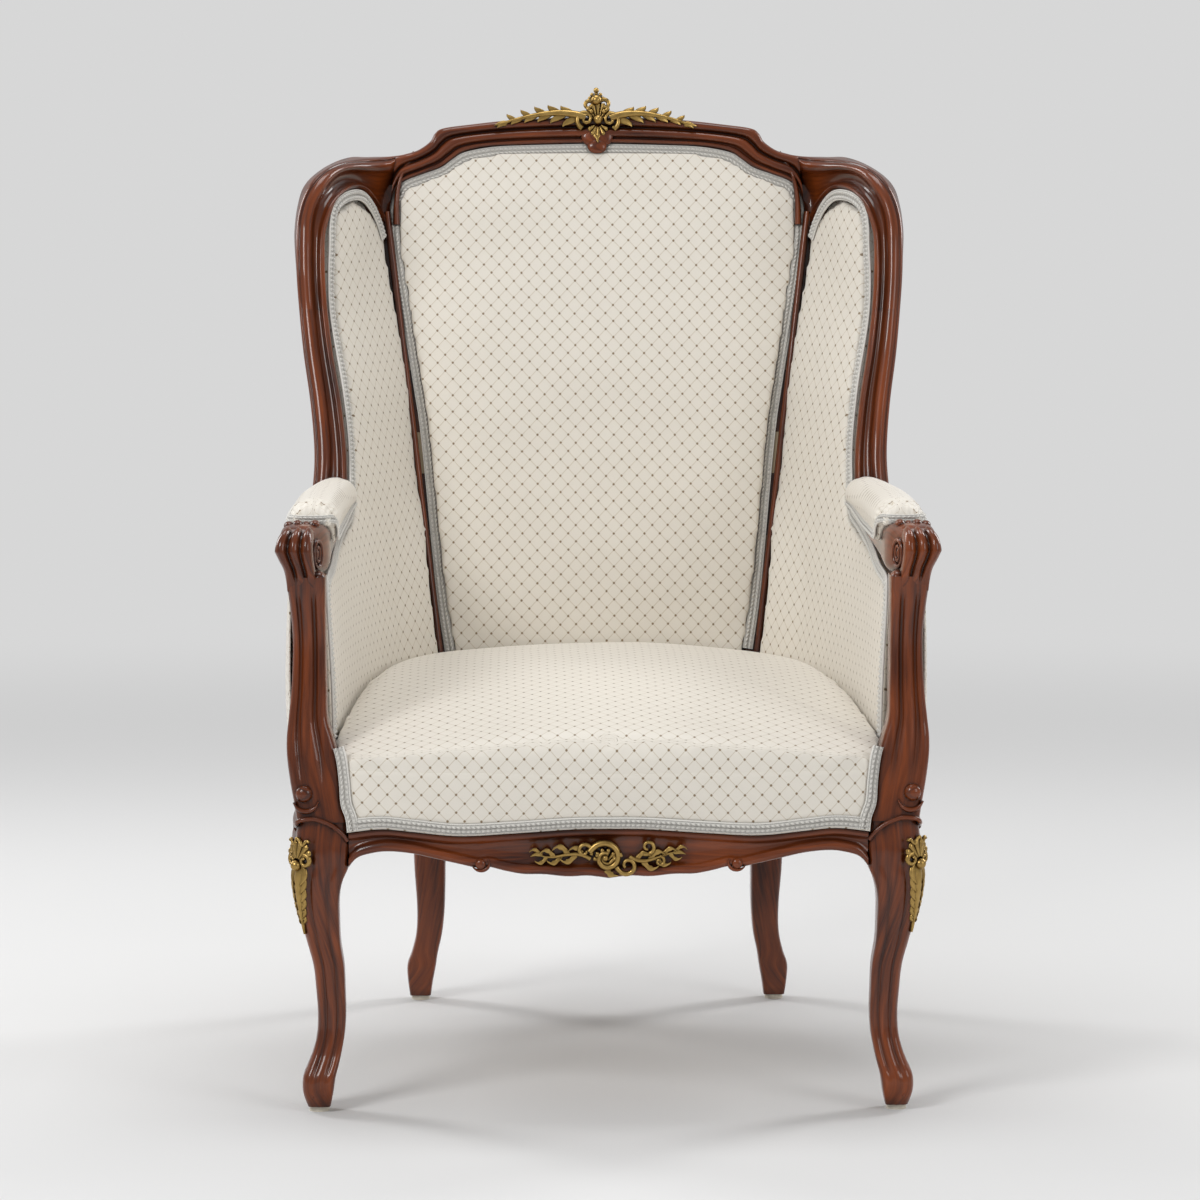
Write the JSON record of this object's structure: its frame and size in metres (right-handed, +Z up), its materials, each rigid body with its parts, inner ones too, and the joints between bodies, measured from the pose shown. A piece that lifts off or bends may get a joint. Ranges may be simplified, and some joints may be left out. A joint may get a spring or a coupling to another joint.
{
  "type": "wingback armchair",
  "caption": "Winged bergere armchair with a carved, polished wood frame, padded seat, back and sides in diamond-lattice brocade, braid edging and gilt mounts.",
  "frame": {"origin": "on the floor, at the middle of the bounding box's base", "axes": "+Z up, -Y is the front that a sitter faces, +X the viewer's right"},
  "size_m": [0.7222, 0.7394, 1.1232],
  "materials": {
    "polished_wood": "high gloss",
    "frame_wood": "raw",
    "brocade": "satin weave with a diamond lattice and dots",
    "gimp": "braided",
    "stuffing": "matt",
    "sacking": "coarse weave",
    "webbing": "woven",
    "spring_steel": "drawn wire",
    "gilt_bronze": "aged gilding",
    "felt": "matt"
  },
  "bodies": {
    "root": {"front_leg_left": "polished_wood", "front_leg_right": "polished_wood", "arm_stump_left": "polished_wood", "arm_stump_right": "polished_wood", "arm_rail_left": "polished_wood", "arm_rail_right": "polished_wood", "wing_post_left": "polished_wood", "wing_post_right": "polished_wood", "wing_rail_left": "polished_wood", "wing_rail_right": "polished_wood", "back_post_left": "polished_wood", "back_post_right": "polished_wood", "seat_rail_left": "polished_wood", "seat_rail_right": "polished_wood", "crest_rail": "polished_wood", "seat_rail_front": "polished_wood", "seat_rail_rear": "frame_wood", "back_bottom_rail": "frame_wood", "corner_blocks": "frame_wood", "joint_dowels": "frame_wood", "seat_cover": "brocade", "back_cover": "brocade", "outside_back": "brocade", "side_cover_left": "brocade", "side_cover_right": "brocade", "outside_arm_left": "brocade", "outside_arm_right": "brocade", "outside_wing_left": "brocade", "outside_wing_right": "brocade", "arm_pad_left": "brocade", "arm_pad_right": "brocade", "seat_gimp": "gimp", "back_gimp": "gimp", "side_gimp_left": "gimp", "side_gimp_right": "gimp", "arm_pad_gimp_left": "gimp", "arm_pad_gimp_right": "gimp", "seat_stuffing": "stuffing", "back_stuffing": "stuffing", "side_stuffing_left": "stuffing", "side_stuffing_right": "stuffing", "spring_hessian": "sacking", "dust_cover": "sacking", "seat_webbing": "webbing", "back_webbing": "webbing", "seat_springs": "spring_steel", "crest_mount": "gilt_bronze", "apron_mount": "gilt_bronze", "mount_pins": "gilt_bronze", "knee_mount_left": "gilt_bronze", "knee_mount_right": "gilt_bronze", "foot_glides": "felt"}
  },
  "joints": []
}
